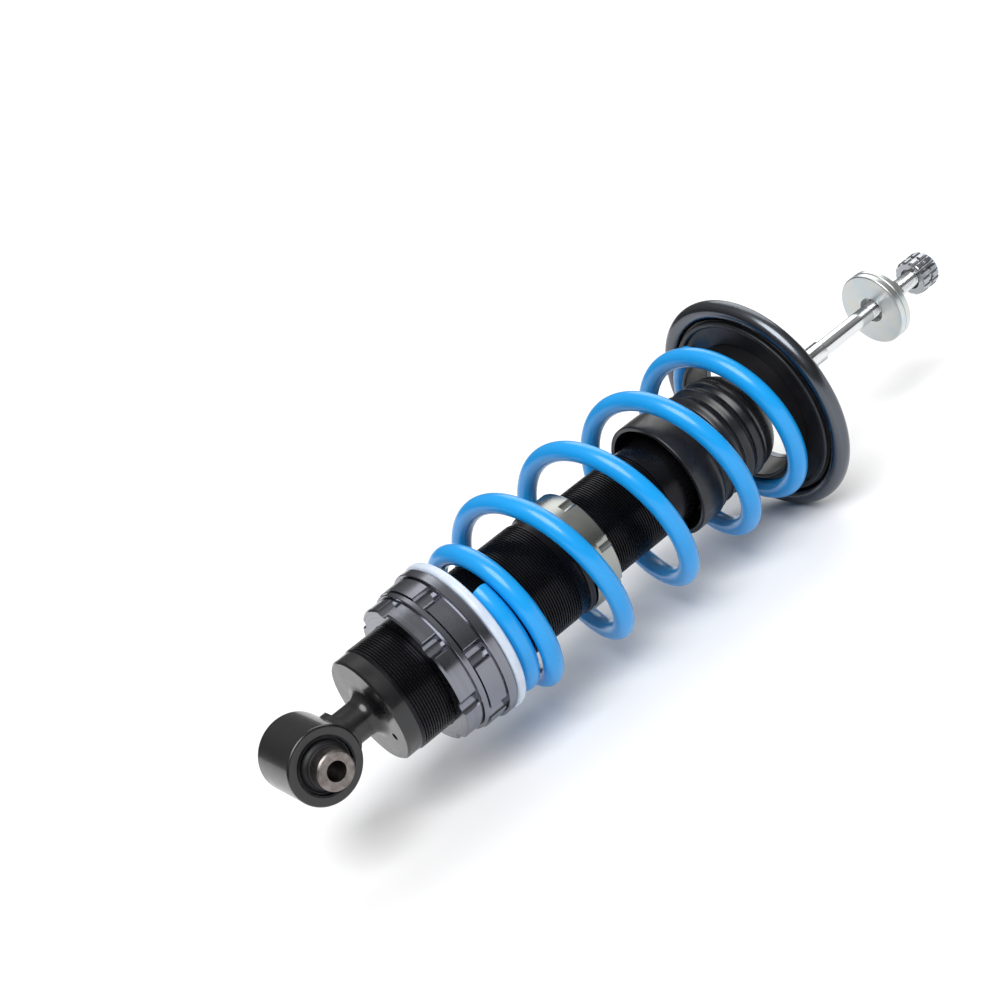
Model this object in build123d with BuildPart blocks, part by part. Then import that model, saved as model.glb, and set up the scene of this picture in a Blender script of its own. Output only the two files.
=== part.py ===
from build123d import *
import math
import os

os.makedirs("parts", exist_ok=True)

# Rear coilover strut, lying along X. The origin is the centre of the lower eye's bore,
# X runs along the strut towards the piston rod, Y is the eye bore's axis and Z is up.
# Turned pieces are drawn in the XY plane, with Y as the radius, and turned about X.

# ---- Driving dimensions, in millimetres ----

# Lower eye and its bush
eye_dia = 39.5
eye_width = 36.0
eye_edge_round = 1.4
bolt_dia = 10.0
bolt_clearance = 0.1
bush_sleeve_dia = 19.6
bush_sleeve_length = 58.0
bush_sleeve_chamfer = 0.8
bush_shell_dia = 30.0
bush_shell_wall = 1.1
bush_shell_length = 37.0
bush_rubber_outer_length = 32.0
bush_rubber_inner_length = 42.0
bush_turn_clearance = 0.05
press_gap = 0.02

# Base cap between the eye and the threaded sleeve
cap_face_x = 37.0
cap_rim_step = 0.7
cap_rim_length = 8.5
cap_rim_chamfer = 1.0
cap_spigot_length = 14.5
cap_spigot_bore = 40.0
neck_dia = 20.0
neck_flare_round = 6.0
drain_hole_dia = 4.0
drain_hole_radius = 19.0
drain_hole_depth = 4.0
drain_hole_angle = 220.0
weld_leg = 3.0

# Threaded sleeve, into which the damper body screws
sleeve_dia = 60.0
sleeve_length = 114.5
sleeve_land_step = 0.6
sleeve_land_length = 4.5
end_seal_stand = 0.5
end_seal_width = 3.8
end_seal_round = 1.2

# Damper body
body_dia = 52.0
body_bore_dia = 46.0
body_start_x = 78.0
body_length = 170.0
body_plain_dia = 50.8
body_plain_length = 20.0
thread_clearance = 0.3

# Collars on the threads
collar_notches = 7
collar_notch_stand = 1.5
collar_face_gap = 0.1
collar_chamfer = 1.0
collar_edge_break = 0.4
lock_ring_x = 66.0
lock_land_width = 9.5
lock_land_height = 9.5
lock_flange_width = 3.2
lock_flange_height = 11.0
lock_notch_dia = 10.0
lock_first_notch = 148.0
perch_land_width = 9.9
perch_land_height = 12.0
perch_flange_width = 5.7
perch_flange_height = 13.6
perch_notch_dia = 11.0
perch_first_notch = 169.3
collar_groove_width = 0.8
collar_groove_depth = 0.8
body_collar_gap = 1.0
body_collar_width = 17.0
body_collar_dia = 63.0
body_collar_notch_dia = 8.0
body_collar_notch_radius = 33.5
body_collar_notch_length = 8.0

# Spring and its seats
isolator_width = 5.3
isolator_lip = 2.1
isolator_round = 2.0
wire_dia = 10.8
spring_low_gap = 1.4
spring_middle_mean_dia = 95.2
spring_high_mean_dia = 90.8
spring_turns = 5.78
spring_closed_pitch = 11.0
spring_start_angle = 135.0
spring_low_open_turn = 1.05
spring_low_ramp_turns = 0.55
spring_high_close_turn = 4.04
spring_high_ramp_turns = 2.07
spring_widen_turn = 0.6
spring_widen_turns = 1.3
spring_narrow_turn = 4.9
spring_narrow_turns = 0.85
spring_length = 215.0
spring_points_per_turn = 12
spring_touch_gap = 0.02
spring_pad_gap = 0.3

seat_dia = 131.0
seat_hole_dia = 73.4
seat_thickness = 3.2
seat_rim_depth = 10.0
seat_rim_width = 10.0
seat_rim_round = 4.8
pad_thickness = 4.0
pad_bore_gap = 0.3
pad_dia = 110.4
pad_ridge_dia = 109.0
pad_ridge_width = 3.3
pad_ridge_height = 2.5
guide_bore_dia = 73.8
guide_wall = 2.6
guide_length = 18.0

# Piston rod and its adjuster needle
rod_dia = 12.5
rod_tail_dia = 8.0
rod_tail_x = 198.0
rod_shoulder_x = 219.2
rod_step_x = 376.5
rod_chamfer_share = 0.8
stud_dia = 10.0
stud_end_x = 464.0
needle_dia = 2.6
needle_gap = 0.3
needle_start_x = 215.0
running_clearance = 0.05

# Piston, its shims and nut
piston_x = 206.0
piston_length = 12.0
piston_land_gap = 0.3
piston_band_length = 7.0
piston_band_wall = 1.5
piston_ports = 6
piston_port_dia = 4.0
piston_port_radius = 11.5
shim_thickness = 1.2
compression_shim_dia = 34.0
rebound_shim_dia = 30.0
piston_nut_length = 5.8
piston_nut_flats = 13.0
rebound_stop_x = 219.4
rebound_stop_length = 6.2
rebound_stop_dia = 30.0

# Gas chamber
base_plug_length = 10.0
gas_valve_dia = 8.0
gas_valve_head_dia = 11.0
gas_valve_length = 11.0
gas_valve_head = 3.0
floating_piston_x = 104.0
floating_piston_length = 10.0
floating_piston_dish = 3.0
floating_ring_width = 2.6
floating_ring_wall = 2.2

# Rod guide and seals in the body's open end
gland_x = 226.0
gland_length = 20.0
gland_ring_x = 234.0
gland_ring_width = 3.0
gland_ring_wall = 2.2
rod_seal_x = 238.0
rod_seal_length = 5.0
rod_seal_dia = 20.0
wiper_x = 243.2
wiper_length = 5.2
wiper_dia = 18.0
circlip_width = 1.5
circlip_bore_dia = 38.0
circlip_groove_depth = 0.9
circlip_gap = 0.1

# Dust boot and bump stop
boot_start_x = 240.0
boot_cuff_dia = 69.0
boot_cuff_length = 19.0
boot_cuff_wall = 3.0
boot_wall = 2.0
boot_bead_dia = 66.0
boot_waist_dia = 59.4
boot_first_crest_dia = 64.0
boot_last_crest_dia = 62.0
boot_bellows_pitch = 8.2
boot_bellows = 4
boot_top_x = 314.0
boot_shoulder_dia = 44.0
boot_dome_place = 0.68
boot_dome_drop = 2.6
bump_stop_length = 12.0
bump_stop_dia = 34.0
bump_stop_round = 3.0

# Stud end: washers, flange nut and adjuster knob
washer_dia = 44.0
washer_thickness = 4.0
washer_edge_round = 0.8
upper_washer_hole_dia = 10.8
lower_washer_hole_dia = 15.6
lower_washer_x = 422.0
washer_gap = 0.2
nut_gap = 0.2
nut_flats = 15.0
nut_length = 13.1
nut_flange_dia = 22.0
nut_flange_length = 2.6
nut_bore_clearance = 0.05
knob_x = 458.0
knob_dia = 22.0
knob_length = 14.0
knob_edge_round = 1.5
knob_flutes = 14
knob_flute_dia = 2.6
knob_groove_width = 2.4
knob_groove_depth = 1.0
knob_recess_dia = 13.0
knob_recess_depth = 4.5
knob_stud_gap = 0.3
knob_stud_depth = 6.5
knob_cap_dia = 18.0
knob_cap_seat = 1.0
knob_cap_height = 2.5
set_screw_dia = 3.0
set_screw_angle = 205.0
set_screw_start = 5.6
set_screw_length = 3.2

# ---- Places worked out from the driving dimensions ----

bolt_bore_radius = bolt_dia / 2 + bolt_clearance
bush_shell_outer_radius = bush_shell_dia / 2 - press_gap
bush_shell_inner_radius = bush_shell_dia / 2 - bush_shell_wall
rubber_inner_radius = bush_sleeve_dia / 2 + bush_turn_clearance
cap_rim_dia = sleeve_dia - 2 * cap_rim_step
sleeve_land_dia = sleeve_dia - 2 * sleeve_land_step
end_seal_dia = sleeve_dia + 2 * end_seal_stand
lock_land_dia = sleeve_dia + 2 * lock_land_height
lock_flange_dia = sleeve_dia + 2 * lock_flange_height
lock_notch_radius = lock_land_dia / 2 + collar_notch_stand
perch_land_dia = sleeve_dia + 2 * perch_land_height
perch_flange_dia = sleeve_dia + 2 * perch_flange_height
perch_notch_radius = perch_land_dia / 2 + collar_notch_stand
spring_low_mean_dia = sleeve_dia + 2 * spring_low_gap + wire_dia
isolator_dia = spring_low_mean_dia + wire_dia + 2 * isolator_lip
sleeve_start_x = cap_face_x + cap_rim_length
sleeve_end_x = sleeve_start_x + sleeve_length
sleeve_bore_radius = body_dia / 2 + thread_clearance
cap_spigot_radius = sleeve_bore_radius - press_gap
collar_bore_radius = sleeve_dia / 2 + thread_clearance
body_end_x = body_start_x + body_length
body_bore_radius = body_bore_dia / 2
sealed_radius = body_bore_radius - press_gap
running_radius = body_bore_radius - running_clearance
body_collar_x = sleeve_end_x + end_seal_width + body_collar_gap
perch_x = lock_ring_x + lock_land_width + collar_groove_width + lock_flange_width + collar_face_gap
isolator_x = perch_x + perch_land_width + collar_groove_width + perch_flange_width + collar_face_gap
spring_low_x = isolator_x + isolator_width + spring_touch_gap
pad_x = spring_low_x + spring_length + spring_pad_gap
seat_inner_x = pad_x + pad_thickness
seat_outer_x = seat_inner_x + seat_thickness
guide_outer_radius = guide_bore_dia / 2 + guide_wall
rod_radius = rod_dia / 2
tail_radius = rod_tail_dia / 2
stud_radius = stud_dia / 2
rod_chamfer = rod_chamfer_share * (rod_radius - stud_radius)
needle_radius = needle_dia / 2
seal_bore_radius = rod_radius + running_clearance
upper_washer_x = lower_washer_x + washer_thickness + washer_gap
nut_x = upper_washer_x + washer_thickness + nut_gap
knob_end_x = knob_x + knob_length
bump_stop_x = boot_top_x - 2 * boot_wall - bump_stop_length - press_gap


def turned_ring(start, end, inner, outer, mode=Mode.ADD):
    """Add to, or cut from, the open part a plain ring about the strut axis."""
    with BuildSketch(Plane.XY) as section:
        with Locations(((start + end) / 2, (inner + outer) / 2)):
            Rectangle(end - start, outer - inner)
    revolve(section.sketch, axis=Axis.X, mode=mode)


def turned_outline(points, mode=Mode.ADD):
    """Add to, or cut from, the open part a closed outline turned about the strut axis."""
    with BuildSketch(Plane.XY) as section:
        with BuildLine():
            Polyline(*points, close=True)
        make_face()
    revolve(section.sketch, axis=Axis.X, mode=mode)


def cross_cylinder(radius, length, mode=Mode.ADD):
    """Add to, or cut from, the open part a cylinder about the eye bore's axis."""
    with BuildSketch(Plane.XZ) as circle:
        Circle(radius)
    extrude(circle.sketch, amount=length / 2, both=True, mode=mode)


def notches(start, end, count, pitch_radius, dia, first_angle):
    """Cut round-bottomed notches along X into the open part's edge."""
    with BuildSketch(Plane.YZ.offset(start)) as slots:
        with PolarLocations(pitch_radius, count, start_angle=first_angle):
            Circle(dia / 2)
    extrude(slots.sketch, amount=end - start, mode=Mode.SUBTRACT)


def edges_at(piece, place, radius, tolerance=0.05):
    """The piece's turned edges that lie at one place along X and one radius."""
    found = []
    for edge in piece.edges().filter_by(GeomType.CIRCLE):
        on_place = abs(edge.arc_center.X - place) < tolerance
        if on_place and abs(edge.radius - radius) < tolerance:
            found.append(edge)
    return found


def lengthwise_edges(piece, radius, tolerance=0.05):
    """The piece's straight edges that run along X at one radius."""
    found = []
    for edge in piece.edges().filter_by(Axis.X):
        middle = edge.position_at(0.5)
        if abs(math.hypot(middle.Y, middle.Z) - radius) < tolerance:
            found.append(edge)
    return found


def save(piece, label):
    """Write a labelled piece's STEP file."""
    export_step(piece, "parts/" + label + ".step")


# ---- Lower eye, bush, base cap and threaded sleeve ----

with BuildPart() as lower_eye:
    cross_cylinder(eye_dia / 2, eye_width)
    fillet(lower_eye.edges().filter_by(GeomType.CIRCLE), eye_edge_round)
    cross_cylinder(bush_shell_dia / 2, eye_width, Mode.SUBTRACT)
lower_eye.part.label = "lower_eye"
save(lower_eye.part, "lower_eye")

with BuildPart() as bush_outer_sleeve:
    cross_cylinder(bush_shell_outer_radius, bush_shell_length)
    cross_cylinder(bush_shell_inner_radius, bush_shell_length, Mode.SUBTRACT)
bush_outer_sleeve.part.label = "bush_outer_sleeve"
save(bush_outer_sleeve.part, "bush_outer_sleeve")

with BuildPart() as bush_rubber:
    with BuildSketch(Plane.XY) as rubber_section:
        with BuildLine():
            Polyline(
                (rubber_inner_radius, -bush_rubber_inner_length / 2),
                (bush_shell_inner_radius - press_gap, -bush_rubber_outer_length / 2),
                (bush_shell_inner_radius - press_gap, bush_rubber_outer_length / 2),
                (rubber_inner_radius, bush_rubber_inner_length / 2),
                close=True,
            )
        make_face()
    revolve(rubber_section.sketch, axis=Axis.Y)
bush_rubber.part.label = "bush_rubber"
save(bush_rubber.part, "bush_rubber")

with BuildPart() as bush_inner_sleeve:
    cross_cylinder(bush_sleeve_dia / 2, bush_sleeve_length)
    chamfer(bush_inner_sleeve.edges().filter_by(GeomType.CIRCLE), bush_sleeve_chamfer)
    cross_cylinder(bolt_bore_radius, bush_sleeve_length, Mode.SUBTRACT)
bush_inner_sleeve.part.label = "bush_inner_sleeve"
save(bush_inner_sleeve.part, "bush_inner_sleeve")

with BuildPart() as base_cap:
    turned_ring(0, cap_face_x, 0, neck_dia / 2)
    turned_ring(cap_face_x, sleeve_start_x, 0, cap_rim_dia / 2)
    turned_ring(sleeve_start_x, sleeve_start_x + cap_spigot_length, 0, cap_spigot_radius)
    fillet(edges_at(base_cap, cap_face_x, neck_dia / 2), neck_flare_round)
    chamfer(edges_at(base_cap, cap_face_x, cap_rim_dia / 2), cap_rim_chamfer)
    cap_bore_end = sleeve_start_x + cap_spigot_length
    turned_ring(sleeve_start_x, cap_bore_end, 0, cap_spigot_bore / 2, Mode.SUBTRACT)
    with BuildSketch(Plane.YZ.offset(cap_face_x)) as drain_hole:
        with PolarLocations(drain_hole_radius, 1, start_angle=drain_hole_angle):
            Circle(drain_hole_dia / 2)
    extrude(drain_hole.sketch, amount=drain_hole_depth, mode=Mode.SUBTRACT)
    cross_cylinder(eye_dia / 2, eye_width, Mode.SUBTRACT)
base_cap.part.label = "base_cap"
save(base_cap.part, "base_cap")

with BuildPart() as eye_weld:
    cross_cylinder(eye_dia / 2 + weld_leg, eye_width)
    weld_outer_radius = neck_dia / 2 + weld_leg
    turned_ring(0, cap_face_x, 0, weld_outer_radius, Mode.INTERSECT)
    turned_ring(0, cap_face_x, 0, neck_dia / 2, Mode.SUBTRACT)
    cross_cylinder(eye_dia / 2, eye_width, Mode.SUBTRACT)
eye_weld.part.label = "eye_weld"
save(eye_weld.part, "eye_weld")

with BuildPart() as lower_sleeve:
    land_x = sleeve_end_x - sleeve_land_length
    turned_ring(sleeve_start_x, land_x, sleeve_bore_radius, sleeve_dia / 2)
    turned_ring(land_x, sleeve_end_x, sleeve_bore_radius, sleeve_land_dia / 2)
lower_sleeve.part.label = "lower_sleeve"
save(lower_sleeve.part, "lower_sleeve")

with BuildPart() as sleeve_end_seal:
    seal_end_x = sleeve_end_x + end_seal_width
    turned_ring(sleeve_end_x, seal_end_x, sleeve_bore_radius, end_seal_dia / 2)
    fillet(edges_at(sleeve_end_seal, seal_end_x, end_seal_dia / 2), end_seal_round)
    fillet(edges_at(sleeve_end_seal, sleeve_end_x, end_seal_dia / 2), end_seal_round)
sleeve_end_seal.part.label = "sleeve_end_seal"
save(sleeve_end_seal.part, "sleeve_end_seal")

# ---- Collars on the threads ----

with BuildPart() as lock_ring:
    lock_flange_x = lock_ring_x + lock_land_width + collar_groove_width
    lock_end_x = lock_flange_x + lock_flange_width
    lock_land_end = lock_ring_x + lock_land_width
    turned_ring(lock_ring_x, lock_flange_x, collar_bore_radius, lock_land_dia / 2)
    turned_ring(lock_flange_x, lock_end_x, collar_bore_radius, lock_flange_dia / 2)
    lock_groove_floor = lock_land_dia / 2 - collar_groove_depth
    turned_ring(lock_land_end, lock_flange_x, lock_groove_floor, lock_flange_dia, Mode.SUBTRACT)
    chamfer(edges_at(lock_ring, lock_ring_x, lock_land_dia / 2), collar_chamfer)
    chamfer(edges_at(lock_ring, lock_flange_x, lock_flange_dia / 2), collar_edge_break)
    chamfer(edges_at(lock_ring, lock_end_x, lock_flange_dia / 2), collar_edge_break)
    notches(
        lock_ring_x, lock_land_end, collar_notches, lock_notch_radius, lock_notch_dia,
        lock_first_notch,
    )
    chamfer(lengthwise_edges(lock_ring, lock_land_dia / 2), collar_edge_break)
lock_ring.part.label = "lock_ring"
save(lock_ring.part, "lock_ring")

with BuildPart() as spring_perch:
    perch_land_end = perch_x + perch_land_width
    perch_flange_x = perch_land_end + collar_groove_width
    perch_end_x = perch_flange_x + perch_flange_width
    turned_ring(perch_x, perch_flange_x, collar_bore_radius, perch_land_dia / 2)
    turned_ring(perch_flange_x, perch_end_x, collar_bore_radius, perch_flange_dia / 2)
    perch_groove_floor = perch_land_dia / 2 - collar_groove_depth
    turned_ring(perch_land_end, perch_flange_x, perch_groove_floor, perch_flange_dia, Mode.SUBTRACT)
    chamfer(edges_at(spring_perch, perch_end_x, perch_flange_dia / 2), collar_chamfer)
    chamfer(edges_at(spring_perch, perch_flange_x, perch_flange_dia / 2), collar_edge_break)
    notches(
        perch_x, perch_land_end, collar_notches, perch_notch_radius, perch_notch_dia,
        perch_first_notch,
    )
    chamfer(lengthwise_edges(spring_perch, perch_land_dia / 2), collar_edge_break)
spring_perch.part.label = "spring_perch"
save(spring_perch.part, "spring_perch")

with BuildPart() as body_lock_collar:
    body_collar_end = body_collar_x + body_collar_width
    turned_ring(body_collar_x, body_collar_end, sleeve_bore_radius, body_collar_dia / 2)
    chamfer(edges_at(body_lock_collar, body_collar_x, body_collar_dia / 2), collar_chamfer)
    chamfer(edges_at(body_lock_collar, body_collar_end, body_collar_dia / 2), collar_chamfer)
    notches(
        body_collar_end - body_collar_notch_length, body_collar_end, collar_notches,
        body_collar_notch_radius, body_collar_notch_dia, perch_first_notch,
    )
body_lock_collar.part.label = "body_lock_collar"
save(body_lock_collar.part, "body_lock_collar")

# ---- Damper body, gas chamber, rod guide and seals ----

with BuildPart() as damper_body:
    body_plain_x = body_end_x - body_plain_length
    turned_ring(body_start_x, body_plain_x, body_bore_radius, body_dia / 2)
    turned_ring(body_plain_x, body_end_x, body_bore_radius, body_plain_dia / 2)
    circlip_x = gland_x + gland_length
    groove_end_x = circlip_x + circlip_width + circlip_gap
    groove_radius = body_bore_radius + circlip_groove_depth
    turned_ring(circlip_x, groove_end_x, body_bore_radius, groove_radius, Mode.SUBTRACT)
damper_body.part.label = "damper_body"
save(damper_body.part, "damper_body")

with BuildPart() as base_plug:
    turned_ring(body_start_x, body_start_x + base_plug_length, gas_valve_dia / 2, sealed_radius)
base_plug.part.label = "base_plug"
save(base_plug.part, "base_plug")

with BuildPart() as gas_valve:
    valve_end_x = body_start_x + gas_valve_length - gas_valve_head
    turned_ring(body_start_x - gas_valve_head, body_start_x, 0, gas_valve_head_dia / 2)
    turned_ring(body_start_x, valve_end_x, 0, gas_valve_dia / 2 - press_gap)
gas_valve.part.label = "gas_valve"
save(gas_valve.part, "gas_valve")

with BuildPart() as floating_piston:
    floating_end_x = floating_piston_x + floating_piston_length
    floating_middle_x = (floating_piston_x + floating_end_x) / 2
    ring_start_x = floating_middle_x - floating_ring_width / 2
    ring_end_x = floating_middle_x + floating_ring_width / 2
    ring_floor_radius = body_bore_radius - floating_ring_wall
    dish_radius = ring_floor_radius - floating_piston_dish
    dish_x = floating_piston_x + floating_piston_dish
    turned_ring(floating_piston_x, floating_end_x, 0, body_bore_radius - piston_land_gap)
    turned_ring(ring_start_x, ring_end_x, ring_floor_radius, body_bore_radius, Mode.SUBTRACT)
    turned_ring(floating_piston_x, dish_x, 0, dish_radius, Mode.SUBTRACT)
floating_piston.part.label = "floating_piston"
save(floating_piston.part, "floating_piston")

with BuildPart() as floating_piston_ring:
    turned_ring(ring_start_x, ring_end_x, ring_floor_radius, running_radius)
floating_piston_ring.part.label = "floating_piston_ring"
save(floating_piston_ring.part, "floating_piston_ring")

with BuildPart() as gland:
    gland_end_x = gland_x + gland_length
    gland_ring_end_x = gland_ring_x + gland_ring_width
    gland_ring_floor = body_bore_radius - gland_ring_wall
    turned_ring(gland_x, gland_end_x, seal_bore_radius, sealed_radius)
    turned_ring(gland_ring_x, gland_ring_end_x, gland_ring_floor, sealed_radius, Mode.SUBTRACT)
    rod_seal_end_x = rod_seal_x + rod_seal_length
    turned_ring(rod_seal_x, rod_seal_end_x, seal_bore_radius, rod_seal_dia / 2, Mode.SUBTRACT)
    turned_ring(rod_seal_end_x, gland_end_x, seal_bore_radius, wiper_dia / 2, Mode.SUBTRACT)
gland.part.label = "gland"
save(gland.part, "gland")

with BuildPart() as gland_o_ring:
    turned_ring(gland_ring_x, gland_ring_end_x, gland_ring_floor, sealed_radius)
gland_o_ring.part.label = "gland_o_ring"
save(gland_o_ring.part, "gland_o_ring")

with BuildPart() as rod_seal:
    turned_ring(rod_seal_x, rod_seal_end_x, seal_bore_radius, rod_seal_dia / 2)
rod_seal.part.label = "rod_seal"
save(rod_seal.part, "rod_seal")

with BuildPart() as rod_wiper:
    turned_ring(wiper_x, wiper_x + wiper_length, seal_bore_radius, wiper_dia / 2)
    chamfer(edges_at(rod_wiper, wiper_x + wiper_length, wiper_dia / 2), collar_chamfer)
rod_wiper.part.label = "rod_wiper"
save(rod_wiper.part, "rod_wiper")

with BuildPart() as retaining_ring:
    circlip_radius = groove_radius - circlip_gap
    turned_ring(circlip_x, circlip_x + circlip_width, circlip_bore_dia / 2, circlip_radius)
retaining_ring.part.label = "retaining_ring"
save(retaining_ring.part, "retaining_ring")

# ---- Piston rod and what it carries inside the body ----

with BuildPart() as piston_rod:
    turned_ring(rod_tail_x, rod_shoulder_x, 0, tail_radius)
    turned_ring(rod_shoulder_x, rod_step_x, 0, rod_radius)
    turned_ring(rod_step_x, stud_end_x, 0, stud_radius)
    chamfer(edges_at(piston_rod, rod_step_x, rod_radius), rod_chamfer)
    chamfer(edges_at(piston_rod, stud_end_x, stud_radius), rod_chamfer)
    turned_ring(rod_tail_x, stud_end_x, 0, needle_radius + needle_gap, Mode.SUBTRACT)
piston_rod.part.label = "piston_rod"
save(piston_rod.part, "piston_rod")

with BuildPart() as piston:
    piston_end_x = piston_x + piston_length
    band_start_x = piston_x + (piston_length - piston_band_length) / 2
    band_end_x = band_start_x + piston_band_length
    band_floor_radius = running_radius - piston_band_wall
    turned_ring(piston_x, piston_end_x, tail_radius, body_bore_radius - piston_land_gap)
    turned_ring(band_start_x, band_end_x, band_floor_radius, body_bore_radius, Mode.SUBTRACT)
    notches(piston_x, piston_end_x, piston_ports, piston_port_radius, piston_port_dia, 0)
piston.part.label = "piston"
save(piston.part, "piston")

with BuildPart() as piston_band:
    turned_ring(band_start_x, band_end_x, band_floor_radius, running_radius)
piston_band.part.label = "piston_band"
save(piston_band.part, "piston_band")

with BuildPart() as compression_shims:
    turned_ring(piston_end_x, piston_end_x + shim_thickness, tail_radius, compression_shim_dia / 2)
compression_shims.part.label = "compression_shims"
save(compression_shims.part, "compression_shims")

with BuildPart() as rebound_shims:
    turned_ring(piston_x - shim_thickness, piston_x, tail_radius, rebound_shim_dia / 2)
rebound_shims.part.label = "rebound_shims"
save(rebound_shims.part, "rebound_shims")

with BuildPart() as piston_nut:
    piston_nut_end_x = piston_x - shim_thickness
    piston_nut_x = piston_nut_end_x - piston_nut_length
    with BuildSketch(Plane.YZ.offset(piston_nut_x)) as piston_nut_hexagon:
        RegularPolygon(piston_nut_flats / 2, 6, major_radius=False)
    extrude(piston_nut_hexagon.sketch, amount=piston_nut_length)
    turned_ring(piston_nut_x, piston_nut_end_x, 0, tail_radius, Mode.SUBTRACT)
piston_nut.part.label = "piston_nut"
save(piston_nut.part, "piston_nut")

with BuildPart() as rebound_stop:
    stop_end_x = rebound_stop_x + rebound_stop_length
    turned_ring(rebound_stop_x, stop_end_x, rod_radius, rebound_stop_dia / 2)
    chamfer(edges_at(rebound_stop, stop_end_x, rebound_stop_dia / 2), collar_chamfer)
rebound_stop.part.label = "rebound_stop"
save(rebound_stop.part, "rebound_stop")

with BuildPart() as bump_stop:
    bump_stop_end_x = bump_stop_x + bump_stop_length
    turned_ring(bump_stop_x, bump_stop_end_x, rod_radius, bump_stop_dia / 2)
    fillet(edges_at(bump_stop, bump_stop_x, bump_stop_dia / 2), bump_stop_round)
bump_stop.part.label = "bump_stop"
save(bump_stop.part, "bump_stop")

with BuildPart() as dust_boot:
    cuff_radius = boot_cuff_dia / 2
    cuff_end_x = boot_start_x + boot_cuff_length
    bead_x = cuff_end_x + boot_bellows_pitch / 4
    bellows_x = cuff_end_x + boot_bellows_pitch
    crest_step = (boot_first_crest_dia - boot_last_crest_dia) / 2 / (boot_bellows - 1)
    wave = [(cuff_end_x, cuff_radius - boot_wall / 2), (bead_x, boot_bead_dia / 2)]
    wave.append((cuff_end_x + boot_bellows_pitch / 2, boot_waist_dia / 2))
    for index in range(boot_bellows):
        crest_x = bellows_x + index * boot_bellows_pitch
        crest_radius = boot_first_crest_dia / 2 - index * crest_step
        wave.append((crest_x, crest_radius))
        wave.append((crest_x + boot_bellows_pitch / 2, boot_waist_dia / 2))
    inner_wave = [(place, radius - boot_wall) for place, radius in reversed(wave)]
    inner_top_x = boot_top_x - 2 * boot_wall
    shoulder_x = boot_top_x - boot_wall
    shoulder_radius = boot_shoulder_dia / 2
    dome_x = wave[-1][0] + boot_dome_place * (shoulder_x - wave[-1][0])
    dome_radius = wave[-1][1] - boot_dome_drop
    shoulder = (shoulder_x, shoulder_radius)
    inner_shoulder = (inner_top_x, shoulder_radius - boot_wall)
    inner_dome = (dome_x - boot_wall, dome_radius - boot_wall)
    start_inner = (boot_start_x, cuff_radius - boot_cuff_wall)
    with BuildSketch(Plane.XY) as boot_section:
        with BuildLine():
            Polyline(start_inner, (boot_start_x, cuff_radius), wave[0])
            Spline(*wave)
            ThreePointArc(wave[-1], (dome_x, dome_radius), shoulder)
            Polyline(shoulder, (boot_top_x, shoulder_radius / 2), (boot_top_x, rod_radius))
            Polyline((boot_top_x, rod_radius), (inner_top_x, rod_radius), inner_shoulder)
            ThreePointArc(inner_shoulder, inner_dome, inner_wave[0])
            Spline(*inner_wave)
            Line(inner_wave[-1], start_inner)
        make_face()
    revolve(boot_section.sketch, axis=Axis.X)
dust_boot.part.label = "dust_boot"
save(dust_boot.part, "dust_boot")

# ---- Coil spring and its seats ----

with BuildPart() as spring_isolator:
    isolator_end_x = isolator_x + isolator_width
    turned_ring(isolator_x, isolator_end_x, collar_bore_radius, isolator_dia / 2)
    fillet(edges_at(spring_isolator, isolator_x, isolator_dia / 2), isolator_round)
    fillet(edges_at(spring_isolator, isolator_end_x, isolator_dia / 2), isolator_round)
spring_isolator.part.label = "spring_isolator"
save(spring_isolator.part, "spring_isolator")


def eased(value):
    """Rise smoothly from 0 to 1 as the value goes from 0 to 1."""
    held = min(max(value, 0), 1)
    return held * held * (3 - 2 * held)


def open_share(turn):
    """How open the coils are at a turn: 0 in the closed ends, 1 in the working coils."""
    opened = eased((turn - spring_low_open_turn) / spring_low_ramp_turns)
    closed = eased((turn - spring_high_close_turn) / spring_high_ramp_turns)
    return opened - closed


def spring_radius(turn):
    """Mean radius of the coils at a turn: small, then widest, then a little smaller."""
    widening = (spring_middle_mean_dia - spring_low_mean_dia) / 2
    narrowing = (spring_middle_mean_dia - spring_high_mean_dia) / 2
    grown = widening * eased((turn - spring_widen_turn) / spring_widen_turns)
    shrunk = narrowing * eased((turn - spring_narrow_turn) / spring_narrow_turns)
    return spring_low_mean_dia / 2 + grown - shrunk


with BuildPart() as coil_spring:
    point_count = round(spring_turns * spring_points_per_turn)
    turns = [spring_turns * index / point_count for index in range(point_count + 1)]
    opened_turns = [0.0]
    for before, after in zip(turns, turns[1:]):
        share = (open_share(before) + open_share(after)) / 2
        opened_turns.append(opened_turns[-1] + share * (after - before))
    centre_travel = spring_length - wire_dia
    closed_travel = spring_closed_pitch * (spring_turns - opened_turns[-1])
    open_pitch = (centre_travel - closed_travel) / opened_turns[-1]
    centres = []
    for turn, opened in zip(turns, opened_turns):
        travel = spring_closed_pitch * (turn - opened) + open_pitch * opened
        angle = math.radians(spring_start_angle + 360 * turn)
        across = spring_radius(turn) * math.cos(angle)
        height = spring_radius(turn) * math.sin(angle)
        centres.append((spring_low_x + wire_dia / 2 + travel, across, height))
    with BuildLine() as wire_path:
        Spline(*centres)
    with BuildSketch(Plane(origin=wire_path.line @ 0, z_dir=wire_path.line % 0)) as wire_section:
        Circle(wire_dia / 2)
    sweep(sections=wire_section.sketch, path=wire_path.line, is_frenet=True)
coil_spring.part.label = "coil_spring"
save(coil_spring.part, "coil_spring")

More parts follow.
